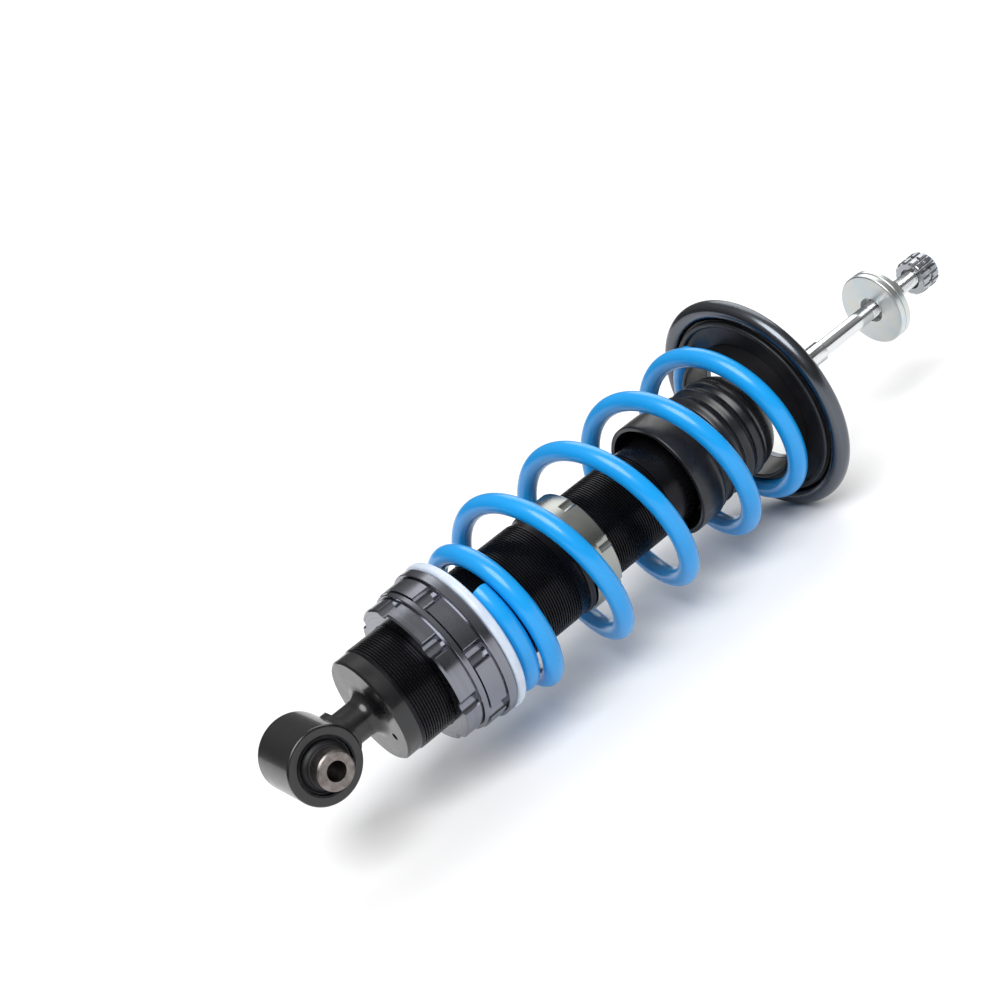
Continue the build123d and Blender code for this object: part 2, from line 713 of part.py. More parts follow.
with BuildPart() as upper_seat:
    rim_x = seat_outer_x - seat_rim_depth
    rim_inner_radius = seat_dia / 2 - seat_rim_width
    turned_ring(seat_inner_x, seat_outer_x, seat_hole_dia / 2, seat_dia / 2)
    turned_ring(rim_x, seat_outer_x, rim_inner_radius, seat_dia / 2)
    fillet(edges_at(upper_seat, seat_outer_x, seat_dia / 2), seat_rim_round)
    fillet(edges_at(upper_seat, rim_x, seat_dia / 2), seat_rim_round)
    fillet(edges_at(upper_seat, rim_x, rim_inner_radius), seat_rim_round)
upper_seat.part.label = "upper_seat"
save(upper_seat.part, "upper_seat")

with BuildPart() as seat_pad:
    ridge_x = pad_x - pad_ridge_height
    ridge_outer_radius = pad_ridge_dia / 2
    ridge_inner_radius = ridge_outer_radius - pad_ridge_width
    turned_ring(pad_x, seat_inner_x, guide_outer_radius + pad_bore_gap, pad_dia / 2)
    turned_ring(ridge_x, pad_x, ridge_inner_radius, ridge_outer_radius)
    fillet(edges_at(seat_pad, ridge_x, ridge_outer_radius), pad_ridge_width / 3)
    fillet(edges_at(seat_pad, ridge_x, ridge_inner_radius), pad_ridge_width / 3)
seat_pad.part.label = "seat_pad"
save(seat_pad.part, "seat_pad")

with BuildPart() as seat_guide:
    guide_lip_x = seat_inner_x - guide_length
    turned_ring(guide_lip_x, seat_inner_x, guide_bore_dia / 2, guide_outer_radius)
    fillet(edges_at(seat_guide, guide_lip_x, guide_outer_radius), guide_wall / 3)
    fillet(edges_at(seat_guide, guide_lip_x, guide_bore_dia / 2), guide_wall / 3)
seat_guide.part.label = "seat_guide"
save(seat_guide.part, "seat_guide")

# ---- Stud end: washers, flange nut and adjuster knob ----

with BuildPart() as lower_washer:
    lower_washer_end_x = lower_washer_x + washer_thickness
    turned_ring(lower_washer_x, lower_washer_end_x, lower_washer_hole_dia / 2, washer_dia / 2)
    fillet(edges_at(lower_washer, lower_washer_x, washer_dia / 2), washer_edge_round)
    fillet(edges_at(lower_washer, lower_washer_end_x, washer_dia / 2), washer_edge_round)
lower_washer.part.label = "lower_washer"
save(lower_washer.part, "lower_washer")

with BuildPart() as upper_washer:
    upper_washer_end_x = upper_washer_x + washer_thickness
    turned_ring(upper_washer_x, upper_washer_end_x, upper_washer_hole_dia / 2, washer_dia / 2)
    fillet(edges_at(upper_washer, upper_washer_x, washer_dia / 2), washer_edge_round)
    fillet(edges_at(upper_washer, upper_washer_end_x, washer_dia / 2), washer_edge_round)
upper_washer.part.label = "upper_washer"
save(upper_washer.part, "upper_washer")

with BuildPart() as flange_nut:
    nut_end_x = nut_x + nut_length
    nut_corner_radius = nut_flats / math.sqrt(3)
    nut_shoulder_x = nut_end_x - (nut_corner_radius - nut_flats / 2)
    nut_bore_radius = stud_radius + nut_bore_clearance
    with BuildSketch(Plane.YZ.offset(nut_x)) as nut_hexagon:
        RegularPolygon(nut_flats / 2, 6, major_radius=False)
    extrude(nut_hexagon.sketch, amount=nut_length)
    turned_outline(
        [
            (nut_x, 0),
            (nut_x, nut_corner_radius),
            (nut_shoulder_x, nut_corner_radius),
            (nut_end_x, nut_flats / 2 - collar_chamfer / 2),
            (nut_end_x, 0),
        ],
        Mode.INTERSECT,
    )
    turned_outline(
        [
            (nut_x, 0),
            (nut_x, nut_flange_dia / 2),
            (nut_x + nut_flange_length / 2, nut_flange_dia / 2),
            (nut_x + nut_flange_length, nut_corner_radius),
            (nut_x + nut_flange_length, 0),
        ]
    )
    turned_ring(nut_x, nut_end_x, 0, nut_bore_radius, Mode.SUBTRACT)
flange_nut.part.label = "flange_nut"
save(flange_nut.part, "flange_nut")

set_screw_way = Vector(0, 1, 0).rotate(Axis.X, set_screw_angle)
set_screw_foot = Vector(knob_x + knob_length / 2, 0, 0) + set_screw_way * set_screw_start
set_screw_plane = Plane(origin=set_screw_foot, x_dir=(1, 0, 0), z_dir=set_screw_way)

with BuildPart() as adjuster_knob:
    knob_middle_x = knob_x + knob_length / 2
    knob_groove_x = knob_middle_x - knob_groove_width / 2
    knob_groove_end_x = knob_middle_x + knob_groove_width / 2
    knob_groove_floor = knob_dia / 2 - knob_groove_depth
    knob_recess_end_x = knob_x + knob_recess_depth
    knob_stud_end_x = knob_x + knob_stud_depth
    cap_seat_x = knob_end_x - knob_cap_seat
    turned_ring(knob_x, knob_end_x, needle_radius + press_gap, knob_dia / 2)
    fillet(edges_at(adjuster_knob, knob_x, knob_dia / 2), knob_edge_round)
    fillet(edges_at(adjuster_knob, knob_end_x, knob_dia / 2), knob_edge_round)
    notches(knob_x, knob_end_x, knob_flutes, knob_dia / 2, knob_flute_dia, 0)
    turned_ring(knob_groove_x, knob_groove_end_x, knob_groove_floor, knob_dia, Mode.SUBTRACT)
    turned_ring(knob_x, knob_recess_end_x, 0, knob_recess_dia / 2, Mode.SUBTRACT)
    turned_ring(knob_x, knob_stud_end_x, 0, stud_radius + knob_stud_gap, Mode.SUBTRACT)
    turned_ring(cap_seat_x, knob_end_x, 0, knob_cap_dia / 2, Mode.SUBTRACT)
    with BuildSketch(set_screw_plane) as set_screw_hole:
        Circle(set_screw_dia / 2)
    extrude(set_screw_hole.sketch, amount=knob_dia / 2, mode=Mode.SUBTRACT)
adjuster_knob.part.label = "adjuster_knob"
save(adjuster_knob.part, "adjuster_knob")

with BuildPart() as knob_set_screw:
    with BuildSketch(set_screw_plane) as set_screw_section:
        Circle(set_screw_dia / 2 - press_gap)
    extrude(set_screw_section.sketch, amount=set_screw_length)
knob_set_screw.part.label = "knob_set_screw"
save(knob_set_screw.part, "knob_set_screw")

with BuildPart() as knob_cap:
    turned_ring(cap_seat_x, cap_seat_x + knob_cap_height, 0, knob_cap_dia / 2 - press_gap)
    cap_top_x = cap_seat_x + knob_cap_height
    fillet(edges_at(knob_cap, cap_top_x, knob_cap_dia / 2 - press_gap), knob_edge_round / 2)
knob_cap.part.label = "knob_cap"
save(knob_cap.part, "knob_cap")

with BuildPart() as adjuster_rod:
    turned_ring(needle_start_x, cap_seat_x, 0, needle_radius)
adjuster_rod.part.label = "adjuster_rod"
save(adjuster_rod.part, "adjuster_rod")
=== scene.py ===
"""Looks for the coilover strut, built as an add-on's operators round its fixed frame."""

import math

import bpy
import numpy as np
from bpy.props import FloatProperty, FloatVectorProperty, PointerProperty
from mathutils import Euler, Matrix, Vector


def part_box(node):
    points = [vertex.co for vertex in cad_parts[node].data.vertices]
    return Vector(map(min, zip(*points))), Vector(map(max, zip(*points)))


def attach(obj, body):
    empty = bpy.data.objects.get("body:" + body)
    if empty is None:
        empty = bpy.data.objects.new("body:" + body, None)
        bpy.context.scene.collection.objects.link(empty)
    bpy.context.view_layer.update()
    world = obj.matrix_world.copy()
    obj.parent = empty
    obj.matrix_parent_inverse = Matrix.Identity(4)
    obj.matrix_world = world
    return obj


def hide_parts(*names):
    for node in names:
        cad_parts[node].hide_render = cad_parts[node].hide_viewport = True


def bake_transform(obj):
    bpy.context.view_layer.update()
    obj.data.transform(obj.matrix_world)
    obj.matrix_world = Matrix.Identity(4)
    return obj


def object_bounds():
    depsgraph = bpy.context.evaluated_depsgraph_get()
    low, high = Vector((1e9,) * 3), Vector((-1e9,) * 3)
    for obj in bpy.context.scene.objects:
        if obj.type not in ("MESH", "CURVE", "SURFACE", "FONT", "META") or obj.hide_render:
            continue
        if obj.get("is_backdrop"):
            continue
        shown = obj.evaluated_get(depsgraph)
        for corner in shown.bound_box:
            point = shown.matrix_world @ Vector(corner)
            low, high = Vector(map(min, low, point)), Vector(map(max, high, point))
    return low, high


bl_info = {
    "name": "Coilover Strut Looks",
    "version": (1, 0, 0),
    "blender": (4, 5, 0),
    "location": "3D View > Sidebar > Strut",
    "description": "Builds the threads, coil spring, boot and finishes of a coilover strut",
    "category": "Add Mesh",
}

MM = 0.001
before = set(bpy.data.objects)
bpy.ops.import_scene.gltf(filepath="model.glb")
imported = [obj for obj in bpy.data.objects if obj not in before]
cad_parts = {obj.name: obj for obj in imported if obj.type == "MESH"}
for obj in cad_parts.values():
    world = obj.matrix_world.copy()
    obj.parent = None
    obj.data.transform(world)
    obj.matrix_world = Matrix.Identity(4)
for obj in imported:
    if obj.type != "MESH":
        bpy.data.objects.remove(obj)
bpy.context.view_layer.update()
FLOOR_REACH = 200.0  # metres, so that the floor runs out of sight


# ---- Colours ----


def linear(hex_colour):
    """Turn an sRGB hex colour into linear RGB: the standard curve, channel by channel."""
    values = [int(hex_colour[i : i + 2], 16) / 255 for i in (1, 3, 5)]
    return tuple(v / 12.92 if v <= 0.04045 else ((v + 0.055) / 1.055) ** 2.4 for v in values)


# ---- Meshes ----


def put_mesh(name, points, faces, crease=32):
    """Make a mesh object at the origin from points in metres and faces as corner lists.

    Edges bent by more than crease degrees are kept sharp.
    """
    mesh = bpy.data.meshes.new(name)
    mesh.from_pydata(points, [], faces)
    mesh.validate()
    mesh.shade_smooth()
    mesh.set_sharp_from_angle(angle=math.radians(crease))
    piece = bpy.data.objects.new(name, mesh)
    bpy.context.scene.collection.objects.link(piece)
    return piece


def grid_faces(rows, columns, wrap_rows, wrap_columns):
    """Corner numbers of a grid's quads, with each direction open or joined to its start."""
    row = np.arange(rows if wrap_rows else rows - 1)
    column = np.arange(columns if wrap_columns else columns - 1)
    here, beside = np.meshgrid(row, column, indexing="ij")
    below = (here + 1) % rows
    right = (beside + 1) % columns
    corners = (here * columns + beside, here * columns + right, below * columns + right)
    return np.stack(corners + (below * columns + beside,), axis=-1).reshape(-1, 4)


def turned(name, section, around=128, axis="X", lift=None, crease=32):
    """Turn a closed section about an axis.

    Each section point (place, radius) becomes a ring: along the axis its place, and across it
    radius times the cosine and sine of the angle. lift, if given, takes the places, radii and
    angles as grids and returns new radii.
    """
    outline = np.array(section, float)
    place, radius = outline[:, 0], outline[:, 1]
    area = np.sum(place * np.roll(radius, -1) - np.roll(place, -1) * radius) / 2
    if (area > 0) == (axis == "X"):
        outline = outline[::-1]
    angle = np.linspace(0, 2 * math.pi, around, endpoint=False)
    place = np.repeat(outline[:, :1], around, axis=1)
    radius = np.repeat(outline[:, 1:], around, axis=1)
    turn = np.repeat(angle[None, :], len(outline), axis=0)
    if lift is not None:
        radius = lift(place, radius, turn)
    across, up = radius * np.cos(turn), radius * np.sin(turn)
    columns = (place, across, up) if axis == "X" else (across, place, up)
    points = np.stack(columns, axis=-1).reshape(-1, 3) * MM
    faces = grid_faces(len(outline), around, True, True)
    return put_mesh(name, points.tolist(), faces.tolist(), crease)


def rounded(corners, steps=5):
    """A closed outline with its corners rounded: corners are (place, radius, rounding).

    Each rounding is the quadratic curve from one side, through the corner's pull, to the next.
    """
    flat = np.array([corner[:2] for corner in corners], float)
    reach = np.array([corner[2] if len(corner) > 2 else 0 for corner in corners], float)
    outline = []
    for here, before, after, cut in zip(flat, np.roll(flat, 1, 0), np.roll(flat, -1, 0), reach):
        if cut == 0:
            outline.append(here)
            continue
        start = here + (before - here) / np.linalg.norm(before - here) * cut
        end = here + (after - here) / np.linalg.norm(after - here) * cut
        share = np.linspace(0, 1, steps + 1)[:, None]
        outline.extend((1 - share) ** 2 * start + 2 * share * (1 - share) * here + share**2 * end)
    return np.array(outline)


def eased(value):
    """Rise smoothly from 0 to 1 as the value goes from 0 to 1."""
    held = np.clip(value, 0, 1)
    return held * held * (3 - 2 * held)


def thread_lift(start, end, pitch, depth, runout):
    """A function that sinks radii along a helix, for the lift of turned().

    The phase is the place over the pitch less the turn; flats of crest and root are joined
    by straight flanks, and the depth fades to nothing within the runout at both ends.
    """

    def lift(place, radius, turn):
        phase = np.mod(place / pitch - turn / (2 * math.pi), 1)
        flank = np.clip(2.6 * np.abs(phase - 0.5) - 0.15, 0, 1)
        fade = eased((place - start) / runout) * eased((end - place) / runout)
        return radius - depth * (1 - flank) * fade * (radius > radius.min() + 0.01)

    return lift


def ring_thread(start, end, major, pitch, depth):
    """Outline points of a thread's form: crest, flank, root and flank at every pitch.

    Each pitch takes its crest from 0 to 0.3 of it and its root from 0.55 to 0.75. They are
    closed rings: on a tube this wide the helix leans less than half a degree.
    """
    steps = np.arange(start, end - pitch, pitch)[:, None]
    place = steps + pitch * np.array([0.0, 0.3, 0.55, 0.75])
    radius = np.broadcast_to(major - depth * np.array([0, 0, 1, 1]), place.shape)
    return list(zip(place.ravel(), radius.ravel()))


# ---- Materials ----


def add_node(tree, kind, settings=(), links=()):
    """Add a node: settings are its properties or socket values, links are socket to source."""
    node = tree.nodes.new(kind)
    for key, value in dict(settings).items():
        if isinstance(key, str) and hasattr(node, key) and key not in node.inputs:
            setattr(node, key, value)
        else:
            node.inputs[key].default_value = value
    for key, source in dict(links).items():
        tree.links.new(source, node.inputs[key])
    return node


def new_material(name, **sockets):
    """A material with one Principled shader; returns its tree, shader and Object coordinates."""
    material = bpy.data.materials.new(name)
    material.use_nodes = True
    tree = material.node_tree
    shader = tree.nodes["Principled BSDF"]
    for key, value in sockets.items():
        shader.inputs[key.replace("_", " ")].default_value = value
    place = add_node(tree, "ShaderNodeTexCoord").outputs["Object"]
    return material, tree, shader, place


def noise(tree, place, size_mm, detail=3.0, roughness=0.5):
    """A noise whose blotches are about size_mm across."""
    settings = {"Scale": 1 / (size_mm * MM), "Detail": detail, "Roughness": roughness}
    return add_node(tree, "ShaderNodeTexNoise", settings, {"Vector": place})


def ramp(tree, source, stops):
    """A colour ramp whose stops are (position, linear colour or grey)."""
    node = add_node(tree, "ShaderNodeValToRGB", links={"Fac": source})
    while len(node.color_ramp.elements) < len(stops):
        node.color_ramp.elements.new(0.5)
    for element, (position, colour) in zip(node.color_ramp.elements, stops):
        element.position = position
        grey = isinstance(colour, (int, float))
        element.color = (colour, colour, colour, 1) if grey else (*colour, 1)
    return node.outputs["Color"]


def bump(tree, shader, height, depth_mm, strength=1.0, below=None):
    """Lead a height into the shader's normal, standing depth_mm high."""
    settings = {"Distance": depth_mm * MM, "Strength": strength}
    links = {"Height": height}
    if below is not None:
        links["Normal"] = below
    node = add_node(tree, "ShaderNodeBump", settings, links)
    tree.links.new(node.outputs["Normal"], shader.inputs["Normal"])
    return node.outputs["Normal"]


def split(tree, place):
    """The place along the strut and the radius from its axis, as two values."""
    parts = add_node(tree, "ShaderNodeSeparateXYZ", links={"Vector": place})
    flat = add_node(
        tree,
        "ShaderNodeVectorMath",
        {"operation": "MULTIPLY", 1: (0, 1, 1)},
        {0: place},
    )
    length = add_node(tree, "ShaderNodeVectorMath", {"operation": "LENGTH"}, {0: flat.outputs[0]})
    return parts.outputs["X"], length.outputs["Value"]


def lathe_lines(tree, place, pitch_mm):
    """Grey lines left by a turning tool: fine noise of the place along and the radius only."""
    along, radius = split(tree, place)
    pair = add_node(tree, "ShaderNodeCombineXYZ", links={"X": along, "Y": radius})
    return noise(tree, pair.outputs["Vector"], pitch_mm, 4.0, 0.6).outputs["Fac"]


def dust(tree, place, clean, dusty, size_mm=9.0):
    """A colour that drifts from clean to dusty in soft patches."""
    cloud = noise(tree, place, size_mm, 6.0, 0.6).outputs["Fac"]
    return ramp(tree, cloud, [(0.35, clean), (0.75, dusty)])


def gloss_black_paint():
    """Stoved black enamel on welded steel: deep gloss, slight orange peel and light dust."""
    material, tree, shader, place = new_material("stoved_black_enamel", Coat_Weight=0.35)
    shader.inputs["Coat Roughness"].default_value = 0.08
    colour = dust(tree, place, linear("#08080A"), linear("#131316"))
    tree.links.new(colour, shader.inputs["Base Color"])
    haze = noise(tree, place, 9.0, 2.0).outputs["Fac"]
    tree.links.new(ramp(tree, haze, [(0.3, 0.26), (0.8, 0.36)]), shader.inputs["Roughness"])
    peel = noise(tree, place, 3.2, 1.0).outputs["Fac"]
    bump(tree, shader, peel, 0.005)
    return material


def black_thread_coat():
    """Black zinc-nickel plate on cut threads: satin, with soft patches of dust."""
    material, tree, shader, place = new_material("black_nickel_threads", Metallic=0.7)
    colour = dust(tree, place, linear("#121215"), linear("#1D1D22"), 14.0)
    tree.links.new(colour, shader.inputs["Base Color"])
    grain = noise(tree, place, 1.2, 3.0).outputs["Fac"]
    tree.links.new(ramp(tree, grain, [(0.3, 0.22), (0.8, 0.34)]), shader.inputs["Roughness"])
    return material


def spring_powder_coat(colour):
    """Polyester powder coat on wound spring steel: bright blue, glossy, with slight orange peel."""
    material, tree, shader, place = new_material("blue_powder_coat", Coat_Weight=0.3)
    shader.inputs["Coat Roughness"].default_value = 0.09
    shader.inputs["Specular IOR Level"].default_value = 0.4
    shade = tuple(value * 0.93 for value in colour)
    drift = noise(tree, place, 22.0, 4.0).outputs["Fac"]
    tree.links.new(ramp(tree, drift, [(0.3, shade), (0.7, colour)]), shader.inputs["Base Color"])
    peel = noise(tree, place, 2.2, 1.0).outputs["Fac"]
    tree.links.new(ramp(tree, peel, [(0.2, 0.27), (0.8, 0.33)]), shader.inputs["Roughness"])
    bump(tree, shader, peel, 0.003)
    return material


def anodised(name, dark, light, rough, line_mm=0.35):
    """Anodised, lathe-turned aluminium: metallic, with fine lines round the axis."""
    material, tree, shader, place = new_material(name, Metallic=1.0)
    lines = lathe_lines(tree, place, line_mm)
    tree.links.new(ramp(tree, lines, [(0.25, dark), (0.75, light)]), shader.inputs["Base Color"])
    smear = noise(tree, place, 9.0, 2.0).outputs["Fac"]
    stops = [(0.3, rough - 0.03), (0.8, rough + 0.05)]
    tree.links.new(ramp(tree, smear, stops), shader.inputs["Roughness"])
    bump(tree, shader, lines, 0.0015)
    return material


def chrome():
    """Hard chrome on a ground rod: mirror bright, with the faintest lengthwise polish marks."""
    material, tree, shader, place = new_material("hard_chrome", Metallic=1.0)
    shader.inputs["Base Color"].default_value = (*linear("#DDDFE0"), 1)
    marks = lathe_lines(tree, place, 0.8)
    tree.links.new(ramp(tree, marks, [(0.3, 0.12), (0.8, 0.20)]), shader.inputs["Roughness"])
    return material


def zinc_plate():
    """Clear-passivated zinc on pressed steel: pale metal with faint blue and straw tints."""
    material, tree, shader, place = new_material("passivated_zinc", Metallic=1.0)
    tint = noise(tree, place, 11.0, 2.0).outputs["Fac"]
    stops = [(0.3, linear("#C3CDD2")), (0.55, linear("#CDD0CE")), (0.8, linear("#D2D1C4"))]
    tree.links.new(ramp(tree, tint, stops), shader.inputs["Base Color"])
    grain = noise(tree, place, 3.0, 2.0).outputs["Fac"]
    tree.links.new(ramp(tree, grain, [(0.3, 0.30), (0.8, 0.38)]), shader.inputs["Roughness"])
    return material


def machined_steel(name, dark, light, rough):
    """Turned low-carbon steel, oiled: grey-brown, with tool lines across its faces."""
    material, tree, shader, place = new_material(name, Metallic=1.0)
    blotch = noise(tree, place, 2.5, 5.0).outputs["Fac"]
    tree.links.new(ramp(tree, blotch, [(0.3, dark), (0.7, light)]), shader.inputs["Base Color"])
    shader.inputs["Roughness"].default_value = rough
    bump(tree, shader, noise(tree, place, 0.5, 3.0).outputs["Fac"], 0.02)
    return material


def black_rubber(name, rough, grain_mm=0.6):
    """Moulded nitrile rubber: near black, low sheen, fine grain and a little bloom."""
    material, tree, shader, place = new_material(name)
    colour = dust(tree, place, linear("#101012"), linear("#222226"), 12.0)
    tree.links.new(colour, shader.inputs["Base Color"])
    haze = noise(tree, place, 5.0, 4.0).outputs["Fac"]
    stops = [(0.3, rough - 0.06), (0.8, rough + 0.08)]
    tree.links.new(ramp(tree, haze, stops), shader.inputs["Roughness"])
    bump(tree, shader, noise(tree, place, grain_mm, 2.0).outputs["Fac"], 0.006)
    return material


def moulded_plastic(name, base, shade, rough, glow):
    """Injection-moulded plastic: smooth, with slight flow marks and, if pale, a soft depth."""
    material, tree, shader, place = new_material(name, Roughness=rough)
    flow = noise(tree, place, 8.0, 3.0).outputs["Fac"]
    tree.links.new(ramp(tree, flow, [(0.3, shade), (0.7, base)]), shader.inputs["Base Color"])
    shader.inputs["Subsurface Weight"].default_value = glow
    shader.inputs["Subsurface Scale"].default_value = 0.002
    bump(tree, shader, noise(tree, place, 0.7, 2.0).outputs["Fac"], 0.01)
    return material


def finish_piece(piece, material, body=None, nodes=()):
    """Give a piece its material, and its body and CAD nodes if it has them."""
    piece.data.materials.clear()
    piece.data.materials.append(material)
    if nodes:
        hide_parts(*nodes)
    if body:
        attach(piece, body)


def coat_nodes(material, *names):
    """Give CAD nodes that keep their own shape a finished material."""
    for name in names:
        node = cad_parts[name]
        node.data.materials.clear()
        node.data.materials.append(material)


# ---- Settings a user would change ----


class StrutThreads(bpy.types.PropertyGroup):
    """Sizes of the threads."""

    sleeve_pitch: FloatProperty(
        name="Sleeve pitch", description="Sleeve and body thread pitch", default=1.5 * MM,
        unit="LENGTH",
    )
    sleeve_depth: FloatProperty(
        name="Sleeve depth", description="Depth of the sleeve and body threads",
        default=0.75 * MM, unit="LENGTH",
    )
    stud_pitch: FloatProperty(
        name="Stud pitch", description="Thread pitch of the rod's stud", default=1.25 * MM,
        unit="LENGTH",
    )
    stud_depth: FloatProperty(
        name="Stud depth", description="Thread depth of the rod's stud", default=0.7 * MM,
        unit="LENGTH",
    )


class StrutSpring(bpy.types.PropertyGroup):
    """Size and colour of the coil spring."""

    wire: FloatProperty(
        name="Wire", description="Diameter of the spring wire", default=10.8 * MM, unit="LENGTH",
    )
    colour: FloatVectorProperty(
        name="Coat", description="Colour of the powder coat", default=linear("#139BE6"),
        subtype="COLOR", min=0, max=1,
    )


class StrutStage(bpy.types.PropertyGroup):
    """Camera and light of the stage."""

    lens: FloatProperty(
        name="Lens", description="Camera focal length in millimetres", default=57.6,
    )
    key: FloatProperty(
        name="Key light", description="Strength of the main soft light", default=2.9,
    )
    fill: FloatProperty(
        name="Fill", description="Strength of the light from all round", default=0.15,
    )
    floor: FloatVectorProperty(
        name="Floor", description="Colour of the floor", default=(0.93, 0.93, 0.935),
        subtype="COLOR", min=0, max=1,
    )


# ---- Pieces ----


class STRUT_OT_sleeve(bpy.types.Operator):
    """Build the threaded sleeve and the damper body's threads"""

    bl_idname = "strut.sleeve"
    bl_label = "Threaded Sleeve"

    def execute(self, context):
        sizes = context.scene.strut_threads
        pitch, depth = sizes.sleeve_pitch / MM, sizes.sleeve_depth / MM
        low, high = (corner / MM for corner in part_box("lower_sleeve"))
        coat = black_thread_coat()
        bore, lead, land, land_radius, chamfer = 26.3, 1.2, 4.5, 29.4, 0.6
        outside = ring_thread(low.x + lead, high.x - land, high.z, pitch, depth)
        section = [(low.x, bore), (low.x, high.z - depth), *outside, (high.x - land, land_radius)]
        section += [(high.x - chamfer, land_radius), (high.x, land_radius - chamfer)]
        section += [(high.x, bore)]
        sleeve = turned("sleeve_threads", section, 160)
        finish_piece(sleeve, coat, "lower_mount", ["lower_sleeve"])
        low, high = (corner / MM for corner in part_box("damper_body"))
        thread_start, thread_end = 130.0, high.x - 20.0
        bore, counterbore, counterbore_start = 23.0, 23.9, 246.0
        plain, plain_chamfer = 25.4, 0.8
        section = [(low.x, bore), (low.x, high.z), (thread_start - 0.4, high.z)]
        section += ring_thread(thread_start, thread_end, high.z, pitch, depth)
        section += [(thread_end + 0.7, plain), (high.x - plain_chamfer, plain), (high.x, 24.7)]
        section += [(high.x, counterbore), (counterbore_start, counterbore)]
        section += [(counterbore_start, bore)]
        body = turned("damper_tube", section, 160)
        finish_piece(body, coat, "damper", ["damper_body"])
        coat_nodes(black_rubber("moulded_seal_rubber", 0.5), "sleeve_end_seal")
        return {"FINISHED"}


class STRUT_OT_eye(bpy.types.Operator):
    """Build the lower eye's bush, and finish the eye, its weld and its cap"""

    bl_idname = "strut.eye"
    bl_label = "Lower Eye"

    def execute(self, context):
        enamel = gloss_black_paint()
        coat_nodes(enamel, "lower_eye", "base_cap")
        coat_nodes(enamel, "eye_weld")
        rubber = black_rubber("bonded_bush_rubber", 0.55)
        inner, outer = 9.85, 13.88
        half = rounded(
            [(21.0, inner, 0), (21.0, inner + 0.5, 0.4), (19.2, inner + 0.9, 0.8),
             (17.2, outer - 1.6, 0.9), (16.0, outer - 1.0, 0.5), (16.6, outer, 0.4)]
        )
        section = np.concatenate([half, half[::-1] * (-1, 1)])
        bush = turned("bush_rubber_ring", section, 96, axis="Y")
        finish_piece(bush, rubber, "lower_mount", ["bush_rubber"])
        steel = machined_steel("oiled_bush_steel", linear("#6A6360"), linear("#8B8582"), 0.38)
        coat_nodes(steel, "bush_inner_sleeve")
        coat_nodes(machined_steel("phosphated_steel", linear("#1E1E20"), linear("#2E2E31"), 0.4),
                   "bush_outer_sleeve")
        return {"FINISHED"}


class STRUT_OT_collars(bpy.types.Operator):
    """Finish the collars on the threads"""

    bl_idname = "strut.collars"
    bl_label = "Collars"

    def execute(self, context):
        gunmetal = anodised("gunmetal_anodise", linear("#74767E"), linear("#8E9098"), 0.20)
        coat_nodes(gunmetal, "lock_ring", "spring_perch")
        silver = anodised("silver_anodise", linear("#90928E"), linear("#AAACA7"), 0.24)
        coat_nodes(silver, "body_lock_collar")
        return {"FINISHED"}


